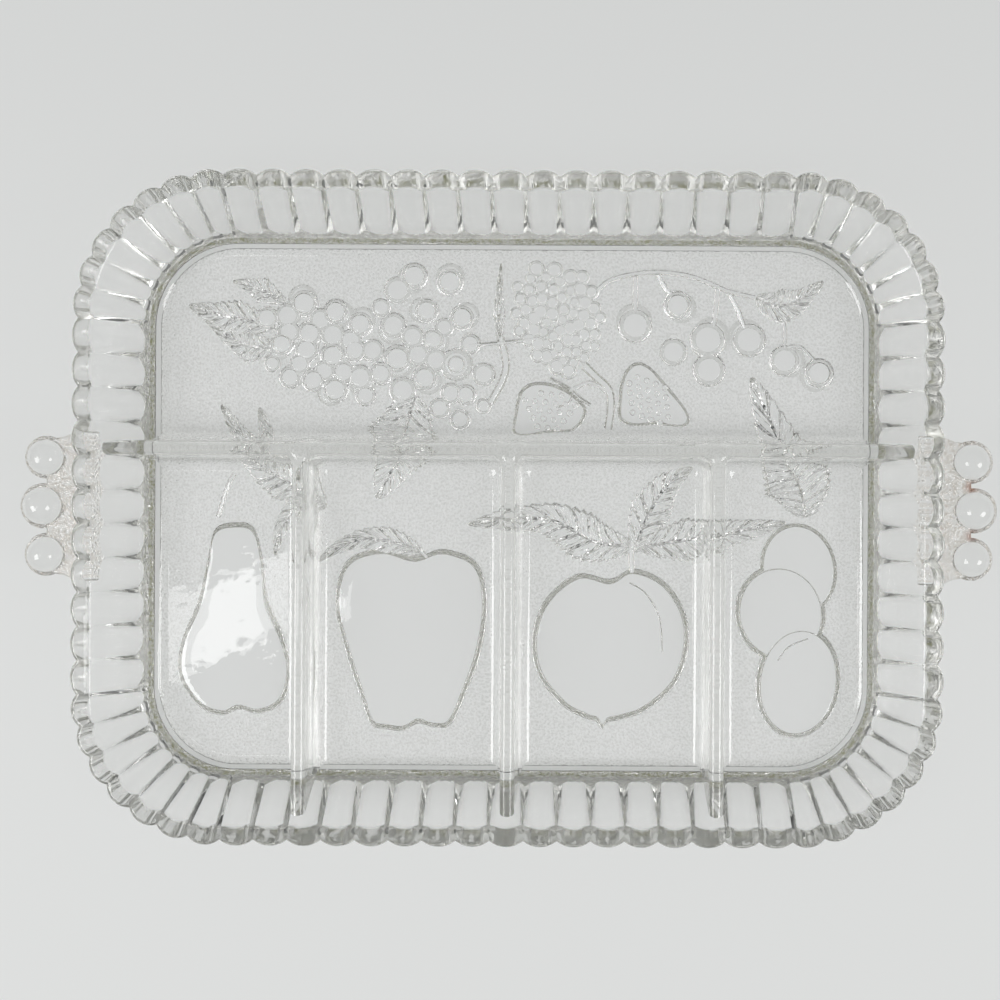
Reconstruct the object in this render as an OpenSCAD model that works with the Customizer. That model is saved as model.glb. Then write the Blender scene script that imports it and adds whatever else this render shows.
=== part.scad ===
// Five-part relish tray in clear pressed glass, with a fluted, flared wall,
// a scalloped rim, solid dividers and a handle of three glass balls at each end.
// Origin in the middle of the foot plane, X along the length, Y to the long well, Z up.

/* [Tray body] */
// Length over the flute crests at the rim
body_length = 302.4; // [260:0.2:360]
// Width over the flute crests at the rim
body_width = 234.4; // [200:0.2:280]
// Height from the foot to the top of the rim
body_height = 30; // [27:0.5:34]
// Corner radius of the rim over the flute crests
corner_radius = 52; // [47:1:60]
// How far the wall flares outwards from the foot to the rim
flare_reach = 18.7; // [16:0.1:21]

/* [Floor and foot] */
// Thickness of the floor
floor_thickness = 3.5; // [3:0.1:4.5]
// Height of the foot ring under the floor
foot_height = 1; // [0.6:0.1:1.6]
// Width of the foot ring
foot_width = 3.3; // [2.5:0.1:4]
// How far the foot ring lies inside the rim
foot_inset = 19.1; // [18.4:0.1:20]
// Radius of the hollow where the floor turns up into the wall
cove_radius = 6; // [3:0.5:8]

/* [Rim and flutes] */
// Width of the lip from its inner edge to a flute crest
lip_width = 7.2; // [6.4:0.1:8.4]
// Height of the rounded band of lobes along the rim
rim_band = 3.4; // [2.6:0.1:4.4]
// How far the lobes of the rim stand out past the flutes
rim_step = 0.3; // [0.2:0.05:0.6]
// Width that each flute aims for at the rim
flute_pitch = 11.65; // [10:0.05:14]
// Level depth of the valleys between the flutes
flute_depth = 2.1; // [1.4:0.05:2.6]

/* [Dividers] */
// Height of the dividers' ridges above the foot plane
divider_height = 26; // [20:0.5:26.5]
// Thickness of a divider at its round ridge
divider_ridge = 5; // [3.5:0.1:6]
// Thickness of a divider where it springs from the floor, without its fillets
divider_root = 7.6; // [6:0.1:9]
// Radius of the fillets along the foot of a divider
divider_fillet = 4.5; // [2:0.5:6]
// How far the long divider lies behind the middle of the tray
long_divider_offset = 20.5; // [0:0.5:40]
// Share of the floor's half length at which the outer short dividers stand
divider_place_share = 0.574; // [0.47:0.002:0.61]

/* [Handles] */
// Diameter of the middle ball of each handle
middle_bead = 15.9; // [13:0.1:17]
// Diameter of the outer balls of each handle
outer_bead = 15.1; // [13:0.1:16.5]
// Distance from one ball to the next
bead_spacing = 17; // [16.9:0.1:20]
// How far the middle ball's centre lies outside the flute crests
bead_reach = 11.8; // [11:0.1:14]
// How far the outer balls' centres lie inside the middle one's
bead_setback = 1.1; // [0:0.1:2]
// Height of the balls' centres above the foot plane
bead_height = 22; // [16:0.5:24]
// Thickness of the tab that joins the balls to the wall
web_thickness = 3; // [2:0.1:4]
// Width of the tab where it leaves the wall
web_width = 52; // [48:0.5:56]

/* [Hidden] */
$fn = 96;

// Glass colours of thin and thick parts
thin_glass = [0.86, 0.89, 0.87, 0.45];
thick_glass = [0.76, 0.80, 0.77, 0.6];

// Segments of a rounded corner in a profile
arc_steps = 5;
nose_steps = 2;
// Depth of the plain wall's outer face under the valleys
core_cover = 0.5;
// Level land between the floor's edge and the start of the cove
edge_land = 0.5;
// Height where the upright foot of the wall passes under the valleys
foot_band_top = 8.9;
// How far the wall stands out past the foot ring at its bottom
foot_step = 2.4;
// Share of a ridge's thickness that the radius of its rounded edges takes
ridge_round_share = 0.45;
// Rounding of the wall's bottom edge, of the lip's inner edge and of the lobes
bottom_round = 1.4;
lip_round = 2;
lobe_round = 1.5;
// Share of an outer ball's diameter by which the tab's shoulders pass its middle
tab_shoulder_share = 0.42;
// Length by which neighbouring flutes lap into each other past their valley
slice_lap = 0.4;
// Length by which a cutting shape passes what it cuts
overrun = 2;

floor_top = foot_height + floor_thickness;
straight_x = body_length / 2 - corner_radius;
straight_y = body_width / 2 - corner_radius;
shoulder = body_height - rim_band / 2;
lean_share = flare_reach / shoulder;
lean_angle = atan(lean_share);
crest_radius = corner_radius - rim_step;

// Distance from a corner's axis to a surface of the wall, at height z
function crest_at(z) = crest_radius - lean_share * (shoulder - z);
function core_at(z) = crest_at(z) - flute_depth - core_cover;
function inside_at(z) = corner_radius - lip_width - lean_share * (body_height - z);
function middle_at(z) = (core_at(z) + inside_at(z)) / 2;

function unit(v) = v / norm(v);
function turned(v, angle) = [
  v.x * cos(angle) - v.y * sin(angle),
  v.x * sin(angle) + v.y * cos(angle)
];

// One corner of an outline as an arc of radius r, tangent to both of its edges
function corner_arc(before, tip, after, r, steps) =
  let (
    a = unit(before - tip),
    b = unit(after - tip),
    half = acos(a * b) / 2,
    center = tip + unit(a + b) * r / sin(half),
    from = tip + a * r / tan(half) - center,
    to = tip + b * r / tan(half) - center,
    sweep = atan2(cross(from, to), from * to)
  )
  [for (i = [0 : steps]) center + turned(from, sweep * i / steps)];

// An outline with a radius for each corner, zero where it stays sharp
function rounded(points, radii, steps) =
  let (n = len(points))
  [
    for (i = [0 : n - 1])
      each radii[i] == 0 ? [points[i]]
        : corner_arc(points[(i + n - 1) % n], points[i], points[(i + 1) % n], radii[i], steps)
  ];

cove_reach = cove_radius * tan((90 - lean_angle) / 2);
ridge_round = divider_ridge * ridge_round_share;
divider_reach = divider_root / 2 + divider_fillet + overrun;
short_divider_spacing = divider_place_share * (straight_x + inside_at(floor_top));
edge_radius = inside_at(floor_top) - cove_reach - edge_land;
foot_outer = corner_radius - foot_inset;
foot_inner = foot_outer - foot_width;

// Section of the wall under its flutes, from the floor's edge to the lip
wall_section = rounded(
  [
    [edge_radius, foot_height],
    [foot_outer + foot_step, foot_height],
    [core_at(foot_band_top), foot_band_top],
    [core_at(body_height), body_height],
    [inside_at(body_height), body_height],
    [inside_at(floor_top), floor_top],
    [edge_radius, floor_top]
  ],
  [0, bottom_round, 0, 0, lip_round, cove_radius, 0],
  arc_steps
);

// Everything outside the middle of the wall's thickness, or deeper by some, up to a height
function outer_half(top, deeper) = [
  [middle_at(foot_height) - deeper, foot_height],
  [corner_radius + overrun, foot_height],
  [corner_radius + overrun, top],
  [middle_at(top) - deeper, top]
];

// The open space between two opposite walls, seen along them
function cavity_section(reach) =
  let (
    high = body_height + overrun,
    wide = reach + inside_at(high),
    narrow = reach + inside_at(floor_top)
  )
  rounded(
    [[wide, high], [-wide, high], [-narrow, floor_top], [narrow, floor_top]],
    [0, 0, cove_radius, cove_radius],
    arc_steps
  );

// Section of a divider: round ridge, flanks with draft, fillets along the floor
root = [divider_root / 2, floor_top];
ridge = [divider_ridge / 2, divider_height];
left_root = [-root.x, root.y];
left_ridge = [-ridge.x, ridge.y];
divider_section = [
  each corner_arc([body_width, floor_top], root, ridge, divider_fillet, arc_steps),
  each corner_arc(root, ridge, left_ridge, ridge_round, arc_steps),
  each corner_arc(ridge, left_ridge, left_root, ridge_round, arc_steps),
  each corner_arc(left_ridge, left_root, [-body_width, floor_top], divider_fillet, arc_steps)
];

// A profile drawn out along one straight side, standing distance away from the middle
module straight_run(distance, half_run) {
  translate([distance, half_run, 0])
    rotate([90, 0, 0])
      linear_extrude(2 * half_run) children();
}

// A profile turned about the corner in the positive quarter
module corner_turn() {
  translate([straight_x, straight_y, 0])
    rotate_extrude(angle = 90) children();
}

// Something placed in all four corners
module four_corners() {
  for (across = [0, 1])
    for (along = [0, 1])
      mirror([across, 0, 0]) mirror([0, along, 0]) children();
}

// A profile carried all the way round the tray
module ring() {
  for (turn = [0, 180]) {
    rotate(turn) straight_run(straight_x, straight_y) children();
    rotate(turn + 90) straight_run(straight_y, straight_x) children();
  }
  four_corners() corner_turn() children();
}

// Radius of a rod whose surface drops by depth over half a pitch
function rod_radius(pitch, depth) = (pitch * pitch / 4 + depth * depth) / (2 * depth);

// One straight flute: a rod that lies along the slope of the wall
module straight_flute(pitch) {
  r = rod_radius(pitch, flute_depth * cos(lean_angle));
  translate([crest_at(foot_height), 0, foot_height])
    rotate([0, lean_angle, 0])
      translate([-r, 0, 0])
        cylinder(r = r, h = (shoulder - foot_height) / cos(lean_angle) + overrun);
}

// One corner flute: a cone that narrows towards the foot and points at the corner's axis
module corner_flute(pitch) {
  r = rod_radius(pitch, flute_depth * cos(lean_angle));
  rim_run = crest_radius / sin(lean_angle);
  foot_run = crest_at(foot_height) / sin(lean_angle);
  taper = asin(r / rim_run);
  low = foot_run * cos(taper);
  high = (rim_run + overrun) * cos(taper);
  translate([0, 0, shoulder - crest_radius / lean_share])
    rotate([0, lean_angle - taper, 0])
      translate([0, 0, low])
        cylinder(r1 = low * tan(taper), r2 = high * tan(taper), h = high - low);
}

// Radius of a corner's lobes, smaller because the corner's curve makes their valleys shallower
function corner_lobe_radius(half_step) =
  let (
    valley = corner_radius - flute_depth,
    back = corner_radius - valley * cos(half_step),
    aside = valley * sin(half_step)
  )
  (back * back + aside * aside) / (2 * back);

// One lobe of the rim, an upright disc with rounded edges
module rim_lobe(r) {
  translate([corner_radius - r, 0, 0])
    rotate_extrude()
      polygon(rounded(
        [[0, body_height - rim_band], [r, body_height - rim_band], [r, body_height], [0, body_height]],
        [0, lobe_round, lobe_round, 0],
        nose_steps
      ));
}

// A profile drawn out along a straight side, back from the place called start
module straight_slice(distance, start, length) {
  translate([distance, start, 0])
    rotate([90, 0, 0])
      linear_extrude(length) children();
}

// The flutes of one straight side, from both ends towards the middle one,
// each trimmed to a slice that laps into its neighbours
module side_flutes(distance, half_run) {
  count = round(2 * half_run / flute_pitch);
  pitch = 2 * half_run / count;
  for (side = [0, 1])
    mirror([0, side, 0])
      for (i = [0 : ceil((count - side) / 2) - 1]) {
        start = min(half_run, half_run - i * pitch + slice_lap);
        length = start - half_run + (i + 1) * pitch + slice_lap;
        place = [distance, half_run - (i + 1 / 2) * pitch, 0];
        intersection() {
          translate(place) straight_flute(pitch);
          straight_slice(distance, start, length) polygon(outer_half(shoulder, 0));
        }
        intersection() {
          translate(place) rim_lobe(rod_radius(pitch, flute_depth));
          straight_slice(distance, start, length) polygon(outer_half(body_height, core_cover));
        }
      }
}

// One straight side of the wall, on the positive X side
module side_wall(distance, half_run) {
  color(thick_glass) {
    straight_run(distance, half_run) polygon(wall_section);
    side_flutes(distance, half_run);
  }
}

// The corner of the wall in the positive quarter, each flute in a sector of its own
module corner_wall() {
  count = round(corner_radius * PI / 2 / flute_pitch);
  pitch = corner_radius * PI / 2 / count;
  step = 90 / count;
  color(thick_glass)
    translate([straight_x, straight_y, 0]) {
      rotate_extrude(angle = 90) polygon(wall_section);
      for (i = [0 : count - 1])
        rotate(i * step) {
          intersection() {
            rotate(step / 2) corner_flute(pitch);
            rotate_extrude(angle = step) polygon(outer_half(shoulder, 0));
          }
          intersection() {
            rotate(step / 2) rim_lobe(corner_lobe_radius(step / 2));
            rotate_extrude(angle = step) polygon(outer_half(body_height, 0));
          }
        }
    }
}

module tray_floor() {
  slab = [[0, foot_height], [edge_radius, foot_height], [edge_radius, floor_top], [0, floor_top]];
  color(thin_glass) {
    ring() polygon(slab);
    translate([-straight_x, -straight_y, foot_height])
      cube([2 * straight_x, 2 * straight_y, floor_thickness]);
  }
}

module foot_ring() {
  color(thin_glass)
    ring() polygon([
      [foot_inner, 0], [foot_outer, 0], [foot_outer, foot_height], [foot_inner, foot_height]
    ]);
}

module right_wall() side_wall(straight_x, straight_y);
module back_wall() rotate(90) side_wall(straight_y, straight_x);
module left_wall() rotate(180) side_wall(straight_x, straight_y);
module front_wall() rotate(270) side_wall(straight_y, straight_x);
module back_right_corner() corner_wall();
module back_left_corner() mirror([1, 0, 0]) corner_wall();
module front_left_corner() rotate(180) corner_wall();
module front_right_corner() mirror([0, 1, 0]) corner_wall();

// The space between two opposite walls, for the divider that spans it
module cavity(reach) {
  translate([0, divider_reach, 0])
    rotate([90, 0, 0])
      linear_extrude(2 * divider_reach) polygon(cavity_section(reach));
}

module long_rib() {
  translate([-body_length / 2, long_divider_offset, 0])
    rotate([90, 0, 90])
      linear_extrude(body_length) polygon(divider_section);
}

module long_divider() {
  color(thick_glass)
    intersection() {
      long_rib();
      translate([0, long_divider_offset, 0]) cavity(straight_x);
    }
}

module short_divider(place) {
  color(thick_glass)
    difference() {
      intersection() {
        translate([place * short_divider_spacing, long_divider_offset, 0])
          rotate([90, 0, 0])
            linear_extrude(body_width) polygon(divider_section);
        translate([place * short_divider_spacing, 0, 0])
          rotate(90) cavity(straight_y);
      }
      long_rib();
    }
}

module short_divider_left() short_divider(-1);
module short_divider_middle() short_divider(0);
module short_divider_right() short_divider(1);

middle_ball_x = body_length / 2 + bead_reach;
outer_ball_x = middle_ball_x - bead_setback;

module beads() {
  translate([middle_ball_x, 0, bead_height]) sphere(d = middle_bead);
  for (side = [-1, 1])
    translate([outer_ball_x, side * bead_spacing, bead_height]) sphere(d = outer_bead);
}

// The tab between the wall and the balls, with hollow shoulders at its outer corners
module handle_web() {
  shoulder_y = bead_spacing + outer_bead * tab_shoulder_share;
  root_x = straight_x + middle_at(bead_height);
  outline = [
    [root_x, -web_width / 2],
    [body_length / 2, -web_width / 2],
    [outer_ball_x, -shoulder_y],
    [outer_ball_x, shoulder_y],
    [body_length / 2, web_width / 2],
    [root_x, web_width / 2]
  ];
  color(thin_glass)
    difference() {
      translate([0, 0, bead_height - web_thickness / 2])
        linear_extrude(web_thickness) polygon(outline);
      beads();
      straight_run(straight_x, straight_y) polygon(wall_section);
      side_flutes(straight_x, straight_y);
    }
}

module right_handle_web() handle_web();
module left_handle_web() mirror([1, 0, 0]) handle_web();
module right_handle_beads() color(thick_glass) beads();
module left_handle_beads() mirror([1, 0, 0]) color(thick_glass) beads();

tray_floor();
foot_ring();
front_wall();
back_wall();
left_wall();
right_wall();
front_left_corner();
front_right_corner();
back_left_corner();
back_right_corner();
long_divider();
short_divider_left();
short_divider_middle();
short_divider_right();
left_handle_web();
right_handle_web();
left_handle_beads();
right_handle_beads();
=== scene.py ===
# %% [markdown]
# # A divided relish tray in clear pressed glass
#
# The tray is one pressing: a plunger squeezed a gob of molten glass into an iron mould, so the
# wall, the floor, the dividers, the handles and the figures under the floor are all one body.
# That decides how it is modelled. Glass shows every inner face, so loose pieces that touch
# would show their seams. Each form is made by itself, and then all are joined into one shell.
#
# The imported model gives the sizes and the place. Everything here is in its frame.

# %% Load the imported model
import math

import bmesh
import bpy
from mathutils import Matrix, Vector


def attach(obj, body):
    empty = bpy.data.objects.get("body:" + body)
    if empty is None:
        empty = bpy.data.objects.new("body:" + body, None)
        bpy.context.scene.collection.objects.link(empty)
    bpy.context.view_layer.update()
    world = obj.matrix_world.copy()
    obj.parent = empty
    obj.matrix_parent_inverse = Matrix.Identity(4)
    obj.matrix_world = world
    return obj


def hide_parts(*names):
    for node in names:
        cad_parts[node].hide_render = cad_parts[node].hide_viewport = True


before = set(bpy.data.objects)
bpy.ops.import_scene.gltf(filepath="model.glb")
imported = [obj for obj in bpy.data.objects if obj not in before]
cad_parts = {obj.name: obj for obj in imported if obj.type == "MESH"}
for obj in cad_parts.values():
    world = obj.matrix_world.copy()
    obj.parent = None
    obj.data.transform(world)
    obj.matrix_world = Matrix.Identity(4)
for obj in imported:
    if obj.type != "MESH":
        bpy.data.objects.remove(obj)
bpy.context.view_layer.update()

# %% [markdown]
# ## Sizes
#
# Glass makers work in millimetres, so the script does too. A piece is built in millimetres
# and made metres once, at the end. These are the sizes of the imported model.

# %% Sizes in millimetres
MM = 0.001
BODY_HEIGHT = 30.0
CORNER_RADIUS = 52.0
STRAIGHT_X, STRAIGHT_Y = 99.2, 65.2
FLARE = 18.7
FOOT_HEIGHT = 1.0
FLOOR_TOP = 4.5
FOOT_INNER, FOOT_OUTER = 29.6, 32.9
FOOT_STEP = 2.4
FOOT_BAND_TOP = 8.9
COVE_RADIUS = 6.0
LIP_WIDTH = 7.2
LIP_ROUND = 2.0
RIM_BAND, RIM_STEP, LOBE_ROUND = 3.4, 0.3, 1.5
FLUTE_DEPTH = 2.1
# Shares of the flutes' depth at their feet and under the rim: right, back, left and front
FOOT_SHARES = (1.42, 1.45, 1.55, 1.55)
RIM_SHARES = (1.0, 1.15, 0.95, 1.25)
CORE_COVER = 0.5
LONG_SIDE_FLUTES, SHORT_SIDE_FLUTES, CORNER_FLUTES = 17, 11, 7

SHOULDER = BODY_HEIGHT - RIM_BAND / 2
LEAN = FLARE / SHOULDER
# The outside leans a little more than the inside, turned about a height near the middle
OUTER_LEAN, LEAN_PIVOT = LEAN + 0.045, 17.0
CREST_RADIUS = CORNER_RADIUS - RIM_STEP


def crest_at(z):
    """Distance from a corner's axis to the crest of a flute, at height z."""
    return CREST_RADIUS - LEAN * (SHOULDER - LEAN_PIVOT) + OUTER_LEAN * (z - LEAN_PIVOT)


def inside_at(z):
    """Distance from a corner's axis to the smooth inner face, at height z."""
    return CORNER_RADIUS - LIP_WIDTH - LEAN * (BODY_HEIGHT - z)


def band_at(z):
    """Distance from a corner's axis to the plain foot of the wall, at height z."""
    low = FOOT_OUTER + FOOT_STEP
    high = crest_at(FOOT_BAND_TOP) - FLUTE_DEPTH - CORE_COVER
    return low + (high - low) * (z - FOOT_HEIGHT) / (FOOT_BAND_TOP - FOOT_HEIGHT)


def corner_arc(before, tip, after, radius, steps):
    """Points of a round corner between two lines that meet at tip."""
    before, tip, after = Vector(before), Vector(tip), Vector(after)
    a, b = (before - tip).normalized(), (after - tip).normalized()
    half = math.acos(max(-1, min(1, a.dot(b)))) / 2
    centre = tip + (a + b).normalized() * radius / math.sin(half)
    first = tip + a * radius / math.tan(half) - centre
    last = tip + b * radius / math.tan(half) - centre
    sweep = math.atan2(first.x * last.y - first.y * last.x, first.dot(last))
    return [centre + Matrix.Rotation(sweep * i / steps, 2) @ first for i in range(steps + 1)]


print("flutes round the tray:", 2 * (LONG_SIDE_FLUTES + SHORT_SIDE_FLUTES) + 4 * CORNER_FLUTES)

# %% [markdown]
# ## Small helpers
#
# A bmesh is a mesh that Python can edit. Each form below starts from one ring or one face,
# which is extruded, and the new vertices are moved into place. The forms are then joined by
# Boolean modifiers with the Manifold solver, which is fast and keeps a closed shell closed.


# %% Mesh helpers
def finish_mesh(bm, name):
    """Turns a bmesh in millimetres into an object in metres, with its faces outwards."""
    bmesh.ops.recalc_face_normals(bm, faces=bm.faces[:])
    bmesh.ops.scale(bm, vec=(MM, MM, MM), verts=bm.verts[:])
    mesh = bpy.data.meshes.new(name)
    bm.to_mesh(mesh)
    bm.free()
    piece = bpy.data.objects.new(name, mesh)
    bpy.context.scene.collection.objects.link(piece)
    return piece


def extrude_loop(bm, edges, places):
    """Extrudes a closed loop of edges once, and moves each new vertex to its place."""
    found = bmesh.ops.extrude_edge_only(bm, edges=edges)["geom"]
    verts = [g for g in found if isinstance(g, bmesh.types.BMVert)]
    verts.sort(key=lambda v: v[loop_order(bm)])
    for vert, place in zip(verts, places):
        vert.co = place
    return [g for g in found if isinstance(g, bmesh.types.BMEdge)], verts


def loop_order(bm):
    """The layer that numbers the vertices round a loop. An extrusion copies the numbers."""
    return bm.verts.layers.int.get("order") or bm.verts.layers.int.new("order")


def mark_faces(mesh, name, wanted):
    """Gives each face a share for the material, from wanted(face), and counts those above 0."""
    marks = mesh.attributes.get(name) or mesh.attributes.new(name, "FLOAT", "FACE")
    marks.data.foreach_set("value", [float(wanted(face)) for face in mesh.polygons])
    return sum(1 for mark in marks.data if mark.value > 0)


def loft(name, loops, close_ends=True):
    """A closed body through a stack of loops with the same number of points."""
    bm = bmesh.new()
    order = loop_order(bm)
    made = bmesh.ops.create_circle(bm, segments=len(loops[0]), radius=1)["verts"]
    for i, vert in enumerate(made):
        vert[order] = i
        vert.co = loops[0][i]
    edges = bm.edges[:]
    first = edges[:]
    for places in loops[1:]:
        edges, _ = extrude_loop(bm, edges, places)
    if close_ends:
        bmesh.ops.contextual_create(bm, geom=first)
        bmesh.ops.contextual_create(bm, geom=edges)
    return finish_mesh(bm, name)


def combine(target, tools, operation):
    """Joins tools to target, or cuts them out of it, and removes them."""
    for tool in tools:
        step = target.modifiers.new(operation.lower(), "BOOLEAN")
        step.operation, step.solver, step.object = operation, "MANIFOLD", tool
    graph = bpy.context.evaluated_depsgraph_get()
    mesh = bpy.data.meshes.new_from_object(target.evaluated_get(graph))
    target.modifiers.clear()
    target.data = mesh
    for tool in tools:
        bpy.data.objects.remove(tool)
    print(target.name, operation.lower(), len(tools), "->", len(mesh.polygons), "faces")
    return target


# %% [markdown]
# ## The wall, the rim and the foot
#
# One loop runs round the whole tray. It starts under the floor, goes out and down round the
# foot ring, up the outside, over the lip and down the smooth inside to the floor. Only the
# outside is fluted: 84 convex flutes meet in sharp valleys, and their round tops are the
# scallops of the rim. A plunger has to come out of the mould, so the wall flares and the
# inside has no undercut.
#
# Each point of the loop knows the flute that it is on and how far across that flute it lies,
# from -1 in one valley to 1 in the next. The lower end of each flute dies into the plain foot
# in a round arch, so the height of the first loop on the flute changes from point to point.

# %% The columns of points round the tray
POINTS_PER_FLUTE = 8


def rod_radius(pitch, depth):
    """Radius of a rod whose surface drops by depth over half a pitch."""
    return (pitch * pitch / 4 + depth * depth) / (2 * depth)


def side_drops(pitch, across):
    """How far the flute and the rim's lobe fall back from their crests on a straight side."""
    lean = math.atan(LEAN)
    u = across * pitch / 2
    r = rod_radius(pitch, FLUTE_DEPTH * math.cos(lean))
    lobe = rod_radius(pitch, FLUTE_DEPTH)
    return (r - math.sqrt(r * r - u * u)) / math.cos(lean), lobe - math.sqrt(lobe**2 - u * u)


def corner_drop(step, across):
    """The same at a corner, where a flute is part of a cone round the corner's axis."""
    valley = math.radians(step) / 2
    x = CORNER_RADIUS - (CORNER_RADIUS - FLUTE_DEPTH) * math.cos(valley)
    y = (CORNER_RADIUS - FLUTE_DEPTH) * math.sin(valley)
    r = (x * x + y * y) / (2 * x)
    centre = CORNER_RADIUS - r
    a = across * valley
    return CORNER_RADIUS - centre * math.cos(a) - math.sqrt(r * r - (centre * math.sin(a)) ** 2)


columns = []
for side in range(4):
    turn = math.radians(90 * side)
    run, cross = (STRAIGHT_Y, STRAIGHT_X) if side % 2 == 0 else (STRAIGHT_X, STRAIGHT_Y)
    flutes = SHORT_SIDE_FLUTES if side % 2 == 0 else LONG_SIDE_FLUTES
    pitch = 2 * run / flutes
    out = Vector((math.cos(turn), math.sin(turn), 0))
    along = Vector((-math.sin(turn), math.cos(turn), 0))
    for i in range(flutes * POINTS_PER_FLUTE):
        across = -1 + 2 * (i % POINTS_PER_FLUTE) / POINTS_PER_FLUTE
        base = out * cross + along * (-run + i * pitch / POINTS_PER_FLUTE)
        flute, lobe = side_drops(pitch, across)
        columns.append((base, out, flute, lobe, False, (FOOT_SHARES[side], RIM_SHARES[side])))
    step = 90 / CORNER_FLUTES
    base = out * cross + along * run
    for i in range(CORNER_FLUTES * POINTS_PER_FLUTE):
        across = -1 + 2 * (i % POINTS_PER_FLUTE) / POINTS_PER_FLUTE
        angle = turn + math.radians(i * step / POINTS_PER_FLUTE)
        drop = corner_drop(step, across)
        out_here = Vector((math.cos(angle), math.sin(angle), 0))
        turned = i / (CORNER_FLUTES * POINTS_PER_FLUTE)
        after = (side + 1) % 4
        shares = [a[side] + (a[after] - a[side]) * turned for a in (FOOT_SHARES, RIM_SHARES)]
        columns.append((base, out_here, drop, drop, i > 0, shares))
print(len(columns), "columns of points")

# %% The loops from the underside over the rim to the floor
FOOT_BEVEL, FOOT_DRAFT = 0.35, 0.1
UNDERSIDE_INSET = 3.0
BOTTOM_ROUND = 1.4
FLUTE_OVERLAP = 0.8
FLUTE_TOP = BODY_HEIGHT - RIM_BAND + FLUTE_OVERLAP
THIRDS = (0.33, 0.67)
UP_THE_FLUTES = (0, 0.06, 0.15, 0.3, 0.5, 0.7, 0.85, 1.0)
ROUND_THE_RIM = (-18, 5, 25, 45, 68, 90)


def level_loop(offset, z):
    """A loop at one height and one distance from the corner axes."""
    return [base + out * offset + Vector((0, 0, z)) for base, out, *_ in columns]


def fluted_loop(share):
    """A loop up the flutes: share 0 on the arches at their feet, share 1 under the rim."""
    places = []
    for base, out, flute, _, at_corner, (at_foot, under_rim) in columns:
        slope = OUTER_LEAN - (band_at(1) - band_at(0))
        start = (band_at(0) + flute * at_foot - crest_at(0)) / slope
        z = start + (FLUTE_TOP - start) * share
        fade = at_foot + (under_rim - at_foot) * share
        drop = flute * fade * (crest_at(z) / CREST_RADIUS if at_corner else 1)
        places.append(base + out * (crest_at(z) - drop) + Vector((0, 0, z)))
    return places


def rim_loop(angle, z_middle):
    """A loop on the rounded edge of the lobes: 0 outermost, 90 on top."""
    back = LOBE_ROUND * (1 - math.cos(math.radians(angle)))
    z = z_middle + LOBE_ROUND * math.sin(math.radians(angle))
    return [b + o * (CORNER_RADIUS - lobe - back) + Vector((0, 0, z)) for b, o, _, lobe, *_ in columns]


foot_in, foot_out = FOOT_INNER + FOOT_DRAFT, FOOT_OUTER - FOOT_DRAFT
foot_profile = [
    (FOOT_INNER - UNDERSIDE_INSET, FOOT_HEIGHT), (FOOT_INNER, FOOT_HEIGHT), (foot_in, FOOT_BEVEL),
    (foot_in + FOOT_BEVEL, 0), (foot_out - FOOT_BEVEL, 0), (foot_out, FOOT_BEVEL),
    (FOOT_OUTER, FOOT_HEIGHT),
]
bottom_edge = corner_arc(
    (0, FOOT_HEIGHT), (band_at(FOOT_HEIGHT), FOOT_HEIGHT),
    (band_at(FOOT_BAND_TOP), FOOT_BAND_TOP), BOTTOM_ROUND, 4,
)
lip_edge = corner_arc(
    (CORNER_RADIUS, BODY_HEIGHT), (inside_at(BODY_HEIGHT), BODY_HEIGHT),
    (inside_at(FLOOR_TOP), FLOOR_TOP), LIP_ROUND, 4,
)
cove = corner_arc(
    (inside_at(BODY_HEIGHT), BODY_HEIGHT), (inside_at(FLOOR_TOP), FLOOR_TOP),
    (0, FLOOR_TOP), COVE_RADIUS, 6,
)
loops = [level_loop(r, z) for r, z in foot_profile]
loops += [level_loop(p.x, p.y) for p in bottom_edge]
loops += [fluted_loop(share) for share in UP_THE_FLUTES]
loops += [rim_loop(angle, BODY_HEIGHT - LOBE_ROUND) for angle in ROUND_THE_RIM]
loops += [level_loop((CORNER_RADIUS - LOBE_ROUND - FLUTE_DEPTH + lip_edge[0].x) / 2, BODY_HEIGHT)]
loops += [level_loop(p.x, p.y) for p in lip_edge]
for share in THIRDS:
    p = lip_edge[-1].lerp(cove[0], share)
    loops.append(level_loop(p.x, p.y))
loops += [level_loop(p.x, p.y) for p in cove]
tray = loft("relish_tray", loops)
print("wall, rim and foot:", len(tray.data.polygons), "faces in", len(loops), "loops")

# %% [markdown]
# ## The dividers
#
# Four ribs part the floor into five wells. In the mould they are slots cut into the plunger,
# so they have draft, a round ridge and fillets where they spring from the floor, and the
# inner corners where two ribs meet are round too. All four share one outline seen from above.
# It is drawn in as it rises: wide over the fillets, then narrow, and last the round ridge.

# %% The outline of the ribs at one height
RIDGE_HEIGHT, RIDGE, ROOT, FILLET = 26.0, 5.0, 7.6, 4.5
LONG_RIB_Y = 20.5
SHORT_RIB_X = (73.0, 0.0, -73.0)
MEET_RADIUS = 3.0
RIDGE_ROUND = 0.45 * RIDGE
IN_WALL, IN_FLOOR = 2.2, 1.5
# Any place well along a straight edge gives a round corner its direction
ALONG = 60.0


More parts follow.
